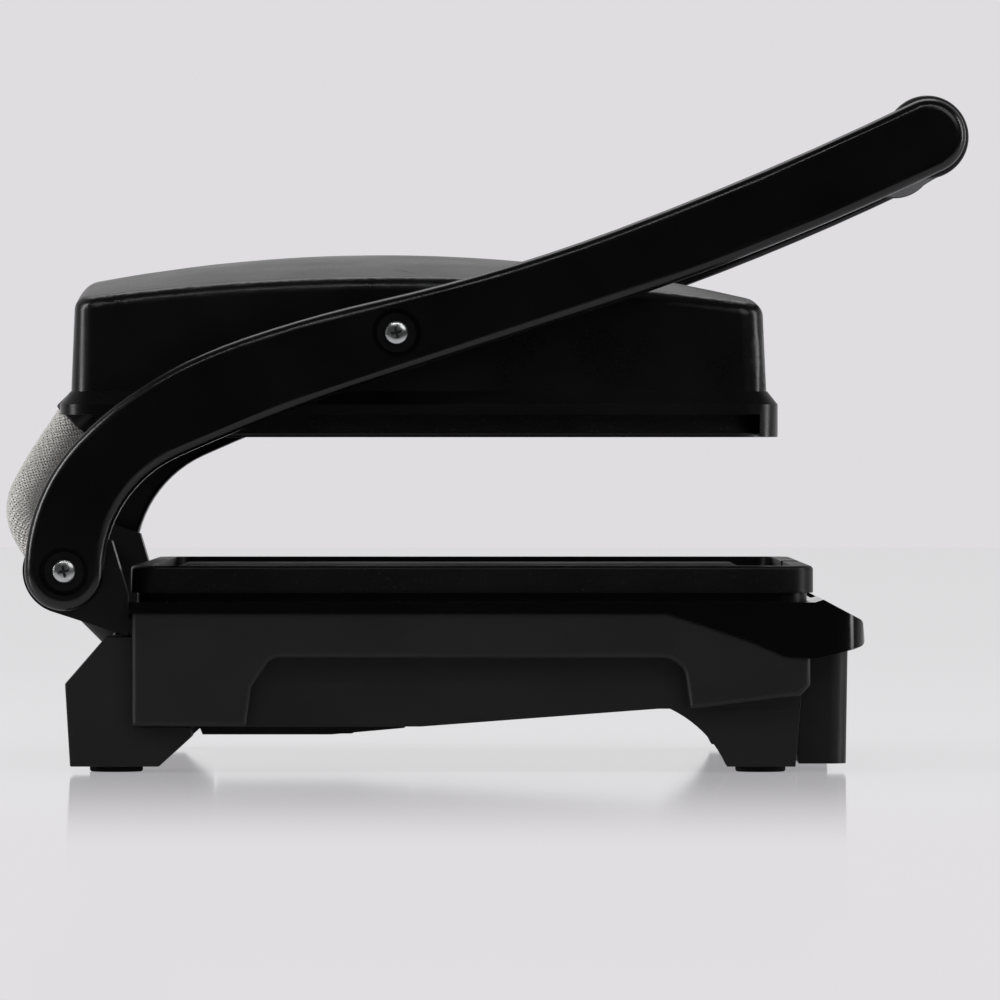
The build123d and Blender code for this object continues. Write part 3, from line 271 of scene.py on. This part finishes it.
def finish_named(name, tint, grains, relief, depth, rough, dust=0.0, metallic=0.0, specular=0.5, coat=0.0):
    """A material from the surface grain and the settled dust, with its own values."""
    material = bpy.data.materials.new(name)
    material.use_nodes = True
    nodes, links = material.node_tree.nodes, material.node_tree.links
    skin = nodes["Principled BSDF"]
    skin.inputs["Metallic"].default_value = metallic
    skin.inputs["Specular IOR Level"].default_value = specular
    skin.inputs["Coat Weight"].default_value = coat
    grain = nodes.new("ShaderNodeGroup")
    grain.node_tree = GRAIN
    for socket, value in (
        ("Grains", grains), ("Relief", relief), ("Depth", depth), ("Rough Low", rough[0]),
        ("Rough High", rough[1]),
    ):
        grain.inputs[socket].default_value = value
    if dust:
        dusty = nodes.new("ShaderNodeGroup")
        dusty.node_tree = DUST
        dusty.inputs["Color"].default_value = (*tint, 1.0)
        dusty.inputs["Dust Color"].default_value = (*[min(1.0, 0.16 + channel) for channel in tint], 1.0)
        dusty.inputs["Amount"].default_value = dust
        links.new(dusty.outputs["Color"], skin.inputs["Base Color"])
    else:
        skin.inputs["Base Color"].default_value = (*tint, 1.0)
    links.new(grain.outputs["Roughness"], skin.inputs["Roughness"])
    links.new(grain.outputs["Normal"], skin.inputs["Normal"])
    return material


def eased(node, material, ease, name):
    """The node's shape as one closed skin, with its sharp corners eased and its curves smooth."""
    mesh = frame["nodes"][node].data.copy()
    piece = bpy.data.objects.new(name, mesh)
    bpy.context.scene.collection.objects.link(piece)
    bpy.ops.object.select_all(action="DESELECT")
    bpy.context.view_layer.objects.active = piece
    piece.select_set(True)
    bpy.ops.object.mode_set(mode="EDIT")
    bpy.ops.mesh.select_all(action="SELECT")
    bpy.ops.mesh.remove_doubles(threshold=1e-6)
    bpy.ops.mesh.dissolve_limited(angle_limit=radians(0.6))
    bpy.ops.object.mode_set(mode="OBJECT")
    if ease:
        bevel = piece.modifiers.new("eased_corners", "BEVEL")
        bevel.width = ease
        bevel.segments = 2
        bevel.limit_method = "ANGLE"
        bevel.angle_limit = radians(32)
        bevel.miter_outer = "MITER_ARC"
        bpy.ops.object.modifier_apply(modifier="eased_corners")
    bpy.ops.object.shade_smooth_by_angle(angle=radians(30))
    even = piece.modifiers.new("even_shading", "WEIGHTED_NORMAL")
    even.keep_sharp = True
    bpy.ops.object.modifier_apply(modifier="even_shading")
    mesh.materials.clear()
    mesh.materials.append(material)
    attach(piece, BODY_OF[node])
    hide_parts(node)
    return piece


def dress(material, *names):
    """Gives the material to whole CAD nodes."""
    for name in names:
        item = frame["nodes"][name]
        item.data.materials.clear()
        item.data.materials.append(material)


spark_black = finish_named("spark_eroded_black",
    (0.0072, 0.0069, 0.0070), 2600.0, 0.35, 0.00009, (0.42, 0.56), dust=0.012, specular=0.4)
for node in ("base_housing", "side_panels", "rear_legs", "front_legs", "front_panel"):
    eased(node, spark_black, 0.0004, node + "_moulding")
dress(spark_black, "base_cover")

# Top frame
# A gloss black bezel over the tub's rim, with the drip lip that falls away at the front.
piano_black = finish_named("gloss_black",
    (0.0022, 0.0022, 0.0023), 900.0, 0.04, 0.00004, (0.08, 0.16), dust=0.004, specular=0.4)
eased("base_top_frame", piano_black, 0.0005, "gloss_bezel")

# Feet and their fixings
# Soft black rubber pads pressed into the legs, and blackened screws for the bottom cover and brackets.
foot_rubber = finish_named("foot_rubber",
    (0.018, 0.018, 0.018), 1800.0, 0.5, 0.00015, (0.7, 0.86), dust=0.12, specular=0.35)
dress(foot_rubber, "rubber_feet")
black_oxide = finish_named("black_oxide",
    (0.09, 0.09, 0.092), 3000.0, 0.2, 0.00005, (0.32, 0.48), metallic=1.0)
dress(black_oxide, "base_cover_screws", "bracket_screws")

# Cooking plates
# Ribbed aluminium castings under a black non-stick coat, sprayed in fine flecks.
coated = finish_named("non_stick_coat",
    (0.002, 0.0019, 0.0019), 1500.0, 0.4, 0.00010, (0.32, 0.44), specular=0.25)
nodes, links = coated.node_tree.nodes, coated.node_tree.links
where, flecks, pick, mixed = [nodes.new(kind) for kind in (
    "ShaderNodeTexCoord", "ShaderNodeTexNoise", "ShaderNodeMapRange", "ShaderNodeMix")]
flecks.inputs["Scale"].default_value = 1400.0
flecks.inputs["Detail"].default_value = 1.0
pick.inputs["From Min"].default_value = 0.66
pick.inputs["From Max"].default_value = 0.78
mixed.data_type = "RGBA"
mixed.inputs["A"].default_value = (0.002, 0.0019, 0.0019, 1)
mixed.inputs["B"].default_value = (0.020, 0.019, 0.0185, 1)
links.new(where.outputs["Object"], flecks.inputs["Vector"])
links.new(flecks.outputs["Fac"], pick.inputs["Value"])
links.new(pick.outputs["Result"], mixed.inputs["Factor"])
links.new(mixed.outputs["Result"], nodes["Principled BSDF"].inputs["Base Color"])
eased("lower_plate", coated, 0.0003, "lower_casting")
eased("upper_plate", coated, 0.0003, "upper_casting")

# Works inside
# Plain steel, mill aluminium, white ceramic and woven glass sleeve, none of it seen when closed up.
plain_steel = finish_named("plain_steel",
    (0.52, 0.52, 0.51), 1400.0, 0.15, 0.00005, (0.26, 0.42), metallic=1.0)
dress(plain_steel, "handle_core", "pivot_studs", "pivot_brackets", "lid_tray",
      "lower_thermostat", "upper_thermostat")
heated_steel = finish_named("heated_steel", (0.30, 0.27, 0.25), 700.0, 0.3, 0.0001, (0.4, 0.6), metallic=1.0)
dress(heated_steel, "lower_element", "upper_element")
mill_aluminium = finish_named("mill_aluminium",
    (0.70, 0.70, 0.71), 500.0, 0.1, 0.00005, (0.3, 0.5), metallic=1.0)
dress(mill_aluminium, "lower_heat_shield", "upper_heat_shield")
steatite = finish_named("steatite", (0.75, 0.73, 0.68), 1800.0, 0.2, 0.0001, (0.5, 0.7))
dress(steatite, "terminal_block")
glass_sleeve = finish_named("glass_sleeve", (0.66, 0.63, 0.54), 2600.0, 0.6, 0.0002, (0.7, 0.85))
dress(glass_sleeve, "thermal_fuse")

# Glands and collars
# Satin black nylon mouldings where the cords pass the walls and where the studs pass the lid.
nylon = finish_named("satin_nylon", (0.019, 0.019, 0.0195), 2200.0, 0.2, 0.00006, (0.34, 0.46), dust=0.03)
dress(nylon, "mains_gland", "lower_cable_gland", "upper_cable_gland", "pivot_collars")

# Hinge brackets
# Black painted castings screwed to the housing's rear wall, each with the bush that its pin turns in.
casting_paint = finish_named("casting_paint",
    (0.0035, 0.0035, 0.0036), 1100.0, 0.4, 0.00012, (0.34, 0.48), dust=0.004, specular=0.3)
for node in ("left_hinge_bracket", "right_hinge_bracket"):
    eased(node, casting_paint, 0.0004, node.replace("hinge_", "") + "_casting")

# Lift arms
# Two curved mouldings in satin black paint, with a round recess for each screw.
satin_paint = finish_named("satin_black_paint",
    (0.0012, 0.0012, 0.0013), 1300.0, 0.08, 0.00004, (0.20, 0.27), specular=0.5)
for node in ("left_arm", "right_arm"):
    eased(node, satin_paint, 0.0005, node + "_moulding")

# Handle
# A soft-touch grip over a steel bar, with a shallow waist and a rounded shoulder at each arm.


def turned(name, stations, sides, place, axis, material):
    """A turned piece: a disc drawn out ring by ring through stations of (distance, radius) along its axis."""
    bpy.ops.object.select_all(action="DESELECT")
    start, radius = stations[0]
    bpy.ops.mesh.primitive_circle_add(vertices=sides, radius=radius, fill_type="NGON", location=(0, 0, start))
    piece = bpy.context.object
    bpy.ops.object.transform_apply(location=True, rotation=True, scale=True)
    bpy.ops.object.mode_set(mode="EDIT")
    bpy.ops.mesh.select_all(action="SELECT")
    for far, wide in stations[1:]:
        bpy.ops.mesh.extrude_region_move(TRANSFORM_OT_translate={"value": (0, 0, far - start)})
        bpy.ops.transform.resize(value=(wide / radius, wide / radius, 1), center_override=(0, 0, far))
        start, radius = far, wide
    bpy.ops.mesh.select_all(action="SELECT")
    bpy.ops.mesh.normals_make_consistent(inside=False)
    bpy.ops.object.mode_set(mode="OBJECT")
    turn = Vector((0, 0, 1)).rotation_difference(Vector(axis)).to_matrix().to_4x4()
    piece.data.transform(Matrix.Translation(place) @ turn)
    bpy.ops.object.shade_smooth_by_angle(angle=radians(32))
    piece.name = name
    piece.data.materials.append(material)
    return piece


low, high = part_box("handle_grip")
GRIP_RADIUS = (high.z - low.z) / 2
GRIP_HALF = high.x
middle = (low + high) / 2
soft_touch = finish_named("soft_touch_grip",
    (0.004, 0.004, 0.0042), 2400.0, 0.35, 0.0001, (0.44, 0.56), dust=0.01, specular=0.3)
outline = [
    (0.0, 0.0125), (0.0006, 0.0136), (0.0016, GRIP_RADIUS), (0.0085, GRIP_RADIUS), (0.0092, 0.0134),
    (0.0104, 0.0134), (0.0111, 0.01375), (0.04, 0.01355), (0.09, 0.0134)]
profile = (
    [(-GRIP_HALF + x, r) for x, r in outline] + [(0.0, 0.01335)]
    + [(GRIP_HALF - x, r) for x, r in reversed(outline)])
grip = turned("round_grip", profile, 72, (0, middle.y, middle.z), (1, 0, 0), soft_touch)
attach(grip, "arms")
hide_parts("handle_grip")

# Lid
# A satin black moulding, crowned on top, with a stepped flare and lip around its edge.
lid_satin = finish_named("satin_black_lid",
    (0.0010, 0.0010, 0.0010), 1500.0, 0.12, 0.00005, (0.26, 0.34), dust=0.004, specular=0.45)
eased("lid_housing", lid_satin, 0.0004, "lid_moulding")
lens_red = finish_named("lens_red",
    (0.22, 0.012, 0.010), 900.0, 0.05, 0.00005, (0.08, 0.14), specular=0.6, coat=0.5)
dress(lens_red, "indicator_lenses")

# Screws and washers
# Zinc-plated pan-head screws with a cross recess hold the arms, over dark plated washers, and the same
# sort holds the plates and the lid.
# The cross recess gets a darker zinc: painted shade, so the cross reads dark against the lit head.
shaded_recess_zinc = finish_named("zinc_painted_recess_shade",
    (0.16, 0.165, 0.165), 2600.0, 0.3, 0.00006, (0.4, 0.55), metallic=0.8)
bright_zinc = finish_named("bright_zinc",
    (0.60, 0.62, 0.61), 2600.0, 0.2, 0.00005, (0.16, 0.30), metallic=1.0)
dress(bright_zinc, "lower_plate_screws", "upper_plate_screws", "lid_screws")
dark_plate = finish_named("dark_plated",
    (0.012, 0.012, 0.012), 1800.0, 0.2, 0.00005, (0.26, 0.4), metallic=0.6)
dress(dark_plate, "hinge_washers", "pivot_washers", "hinge_bushes", "hinge_pins")


def pan_head_screw(name, place, side):
    """A screw whose head stands out of the arm at the side, its top domed and cut with a tapered cross."""
    stations = [
        (-0.0110, 0.0016), (-0.0105, 0.0019), (0.0, 0.0019), (0.00002, 0.0040), (0.0012, 0.0040),
        (0.0019, 0.0037), (0.0023, 0.0031), (0.00255, 0.0020), (0.00262, 0.0006)]
    screw = turned(name, stations, 40, (0, 0, 0), (0, 0, 1), bright_zinc)
    for turn in (0, 90):
        bpy.ops.object.select_all(action="DESELECT")
        bpy.ops.mesh.primitive_cone_add(
            vertices=4, radius1=0.0006, radius2=0.0032, depth=0.0026, location=(0, 0, 0.0020),
            rotation=(0, 0, radians(45)))
        bpy.ops.object.transform_apply(location=True, rotation=True, scale=True)
        wing = bpy.context.object
        bpy.ops.object.mode_set(mode="EDIT")
        bpy.ops.mesh.select_all(action="SELECT")
        bpy.ops.transform.resize(value=(1.25, 0.27, 1.0), center_override=(0, 0, 0))
        bpy.ops.object.mode_set(mode="OBJECT")
        wing.data.transform(Matrix.Rotation(radians(turn + 12), 4, "Z"))
        # The cutter's darker zinc passes to the cross's walls as painted shade.
        wing.data.materials.append(shaded_recess_zinc)
        cut = screw.modifiers.new("cross", "BOOLEAN")
        cut.operation = "DIFFERENCE"
        cut.material_mode = "TRANSFER"
        cut.object = wing
        bpy.context.view_layer.objects.active = screw
        bpy.ops.object.modifier_apply(modifier="cross")
        bpy.data.objects.remove(wing)
    screw.data.transform(Matrix.Translation(place) @ Matrix.Rotation(radians(90 * side), 4, "Y"))
    bpy.ops.object.select_all(action="DESELECT")
    screw.select_set(True)
    bpy.ops.object.shade_smooth_by_angle(angle=radians(35))
    return screw


for node, body in (("hinge_screws", "hinge"), ("pivot_screws", "lid")):
    low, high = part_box(node)
    for side, word in ((-1, "left"), (1, "right")):
        seat = side * (high.x - 0.0026)
        screw = pan_head_screw(
            f"{word}_{node[:-1]}", (seat, (low.y + high.y) / 2, (low.z + high.z) / 2), side)
        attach(screw, body)
        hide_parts(node)

# Braided sleeve
# The lid's supply cord runs in a woven sleeve that leaves the base rearwards, loops up behind the hinge and
# enters the lid. It is held at both ends and made in three lengths. Away from rest the sleeve folds sharply,
# which is an open fault.
SLEEVE_X, SLEEVE_RADIUS = -0.100, 0.0061
LINER_RADIUS, LINER_SIDES = SLEEVE_RADIUS - 0.0006, 32
STRAND_HALF, WEAVE_RISE = 0.00052, 0.00022
SHRINK_WALL, SHRINK_SIDES = 0.0008, 40
ROUTE = [
    (0.1235, 0.0476), (0.1380, 0.0621), (0.1485, 0.0726), (0.1572, 0.0880), (0.1490, 0.1035),
    (0.1398, 0.1170), (0.1375, 0.1206)]
BEND_FROM, BEND_TO = Vector((SLEEVE_X, 0.1380, 0.0621)), Vector((SLEEVE_X, 0.1520, 0.0985))
SHRINK_TUBE = 0.0125
CARRIERS, LAY = 26, 0.0330
woven = bpy.data.materials.new("woven_sleeve")
woven.use_nodes = True
nodes, links = woven.node_tree.nodes, woven.node_tree.links
skin = nodes["Principled BSDF"]
skin.inputs["Metallic"].default_value = 0.15
where, tone, ramp, shine = [nodes.new(kind) for kind in (
    "ShaderNodeTexCoord", "ShaderNodeTexNoise", "ShaderNodeMix", "ShaderNodeMapRange")]
tone.inputs["Scale"].default_value = 900.0
tone.inputs["Detail"].default_value = 2.0
ramp.data_type = "RGBA"
ramp.inputs["A"].default_value = (0.44, 0.42, 0.39, 1)
ramp.inputs["B"].default_value = (0.88, 0.86, 0.82, 1)
shine.inputs["To Min"].default_value = 0.30
shine.inputs["To Max"].default_value = 0.50
links.new(where.outputs["Object"], tone.inputs["Vector"])
links.new(tone.outputs["Fac"], ramp.inputs["Factor"])
links.new(ramp.outputs["Result"], skin.inputs["Base Color"])
links.new(tone.outputs["Fac"], shine.inputs["Value"])
links.new(shine.outputs["Result"], skin.inputs["Roughness"])
liner = finish_named("sleeve_liner", (0.10, 0.098, 0.095), 2400.0, 0.3, 0.0001, (0.6, 0.75))
shrink_black = finish_named("shrink_tube",
    (0.010, 0.010, 0.0102), 1600.0, 0.15, 0.00006, (0.38, 0.5), specular=0.35)

spline_data = bpy.data.curves.new("sleeve_route", "CURVE")
spline_data.dimensions = "3D"
spline_data.resolution_u = 24
spline = spline_data.splines.new("NURBS")
spline.points.add(len(ROUTE) - 1)
for point, (y, z) in zip(spline.points, ROUTE):
    point.co = (SLEEVE_X, y, z, 1.0)
spline.order_u = 3
spline.use_endpoint_u = True
route = bpy.data.objects.new("sleeve_route", spline_data)
bpy.context.scene.collection.objects.link(route)
line = [v.co.copy() for v in bpy.data.meshes.new_from_object(route).vertices]
bpy.data.objects.remove(route)

STEP = 0.00042
smooth, gone = [line[0]], 0.0
for near, far in zip(line, line[1:]):
    span = (far - near).length
    at = STEP - gone
    while at <= span:
        smooth.append(near.lerp(far, at / span))
        at += STEP
    gone = span - (at - STEP)
across = Vector((1, 0, 0))
ways = [
    (smooth[min(i + 2, len(smooth) - 1)] - smooth[max(i - 2, 0)]).normalized()
    for i in range(len(smooth))]


def sleeve_length(name, first, last, node, tube=0.0, rounded=0):
    """One length of the sleeve between two steps of the route: a dark liner, its woven strands over it and,
    where it starts in a gland, a black shrink tube round its end.
    Rounded is 1 where its last end reaches into the next length, and -1 where its first end reaches back."""
    mesh = bmesh.new()
    reach = range(first, last + 1)

    def ring_point(i, turn, radius):
        return smooth[i] + (across * cos(turn) + across.cross(ways[i]) * sin(turn)) * radius

    rings = [
        [mesh.verts.new(ring_point(i, tau * k / LINER_SIDES, LINER_RADIUS)) for k in range(LINER_SIDES)]
        for i in reach[::4]]
    for one, two in zip(rings, rings[1:]):
        for k in range(LINER_SIDES):
            beside = (k + 1) % LINER_SIDES
            mesh.faces.new((one[k], one[beside], two[beside], two[k])).material_index = 1
    if rounded:
        mouth, place = (last, len(rings)) if rounded > 0 else (first, 0)
        edge = rings[-1] if rounded > 0 else rings[0]
        for lift in (0.3, 0.6, 0.9, 1.2, 1.45):
            out = ways[mouth] * rounded * LINER_RADIUS * sin(lift)
            ring = [
                mesh.verts.new(ring_point(mouth, tau * k / LINER_SIDES, LINER_RADIUS * cos(lift)) + out)
                for k in range(LINER_SIDES)]
            for k in range(LINER_SIDES):
                beside = (k + 1) % LINER_SIDES
                mesh.faces.new((edge[k], edge[beside], ring[beside], ring[k]))
            edge = ring
        rings[place:place] = [edge]
    for cap, order, side in ((rings[0], -1, -1), (rings[-1], 1, 1)):
        mesh.faces.new(cap[::order]).material_index = 0 if side == rounded else 1
    for hand in (-1, 1):
        for carrier in range(CARRIERS):
            strand = []
            for i in reach:
                turn = tau * carrier / CARRIERS + hand * tau * i * STEP / LAY
                over = SLEEVE_RADIUS + WEAVE_RISE * hand * cos(CARRIERS * tau * i * STEP / LAY + pi * carrier)
                half = STRAND_HALF / SLEEVE_RADIUS
                strand.append([mesh.verts.new(ring_point(i, turn + half * k, over + lift)) for k, lift in (
                    (-1, -0.0001), (-0.5, 0.00012), (0.5, 0.00012), (1, -0.0001))])
            for one, two in zip(strand, strand[1:]):
                for k in range(4):
                    mesh.faces.new((one[k], one[(k + 1) % 4], two[(k + 1) % 4], two[k]))
            mesh.faces.new(strand[0][::-1])
            mesh.faces.new(strand[-1])
    if tube:
        edge_radius, skin_radius = SLEEVE_RADIUS + SHRINK_WALL / 2, SLEEVE_RADIUS + SHRINK_WALL
        skins = [
            [mesh.verts.new(ring_point(i, tau * k / SHRINK_SIDES, radius)) for k in range(SHRINK_SIDES)]
            for i, radius in (
                (first, edge_radius), (first, skin_radius),
                *[(i, skin_radius) for i in range(first + 3, first + int(tube / STEP), 3)],
                (first + int(tube / STEP) + 1, edge_radius))]
        for one, two in zip(skins, skins[1:]):
            for k in range(SHRINK_SIDES):
                beside = (k + 1) % SHRINK_SIDES
                mesh.faces.new((one[k], one[beside], two[beside], two[k])).material_index = 2
        for cap, order in ((skins[0], -1), (skins[-1], 1)):
            mesh.faces.new(cap[::order]).material_index = 2
    bmesh.ops.recalc_face_normals(mesh, faces=mesh.faces)
    data = bpy.data.meshes.new(name)
    mesh.to_mesh(data)
    mesh.free()
    piece = bpy.data.objects.new(name, data)
    bpy.context.scene.collection.objects.link(piece)
    for material in (woven, liner, shrink_black):
        data.materials.append(material)
    bpy.ops.object.select_all(action="DESELECT")
    bpy.context.view_layer.objects.active = piece
    piece.select_set(True)
    bpy.ops.object.shade_smooth_by_angle(angle=radians(50))
    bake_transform(piece)
    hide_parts(node)


low_cut = min(range(len(smooth)), key=lambda i: (smooth[i] - BEND_FROM).length)
high_cut = min(range(len(smooth)), key=lambda i: (smooth[i] - BEND_TO).length)
sleeve_length("sleeve_by_base", 0, low_cut, "sleeve_lower", SHRINK_TUBE)
sleeve_length(
    "sleeve_bend", low_cut, high_cut, "sleeve_middle", rounded=1)
sleeve_length(
    "sleeve_by_lid", high_cut, len(smooth) - 1, "sleeve_upper",
    rounded=-1)
